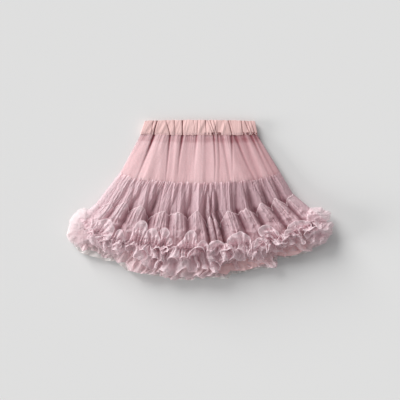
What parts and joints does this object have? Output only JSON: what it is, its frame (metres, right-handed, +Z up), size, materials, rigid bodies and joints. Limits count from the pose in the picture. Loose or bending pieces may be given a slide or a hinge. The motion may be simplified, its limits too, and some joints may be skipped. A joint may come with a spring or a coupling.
{
  "type": "layered net mini skirt",
  "caption": "Child's mini skirt of gathered net tiers over a lining, with an elastic waist and ruffled hem, laid flat with its front up.",
  "frame": {"origin": "on the surface that the skirt lies on, under the middle of the laid skirt", "axes": "+X to the right of the front, +Y from the hem to the waist, +Z up from the surface"},
  "size_m": [0.5, 0.2999, 0.0561],
  "materials": {
    "net": "matte fine polyester net, translucent",
    "lining": "matte woven cotton",
    "waistband": "matte woven cotton, puckered over elastic"
  },
  "bodies": {
    "root": {"waistband_front": "waistband", "waistband_back": "waistband", "yoke_front": "net", "yoke_back": "net", "middle_tier_front": "net", "middle_tier_back": "net", "lower_tier_front": "net", "lower_tier_back": "net", "under_tier_front": "net", "frill_front": "net", "under_frill_front": "net", "frill_back": "net", "lining_front": "lining", "lining_back": "lining"}
  },
  "joints": []
}
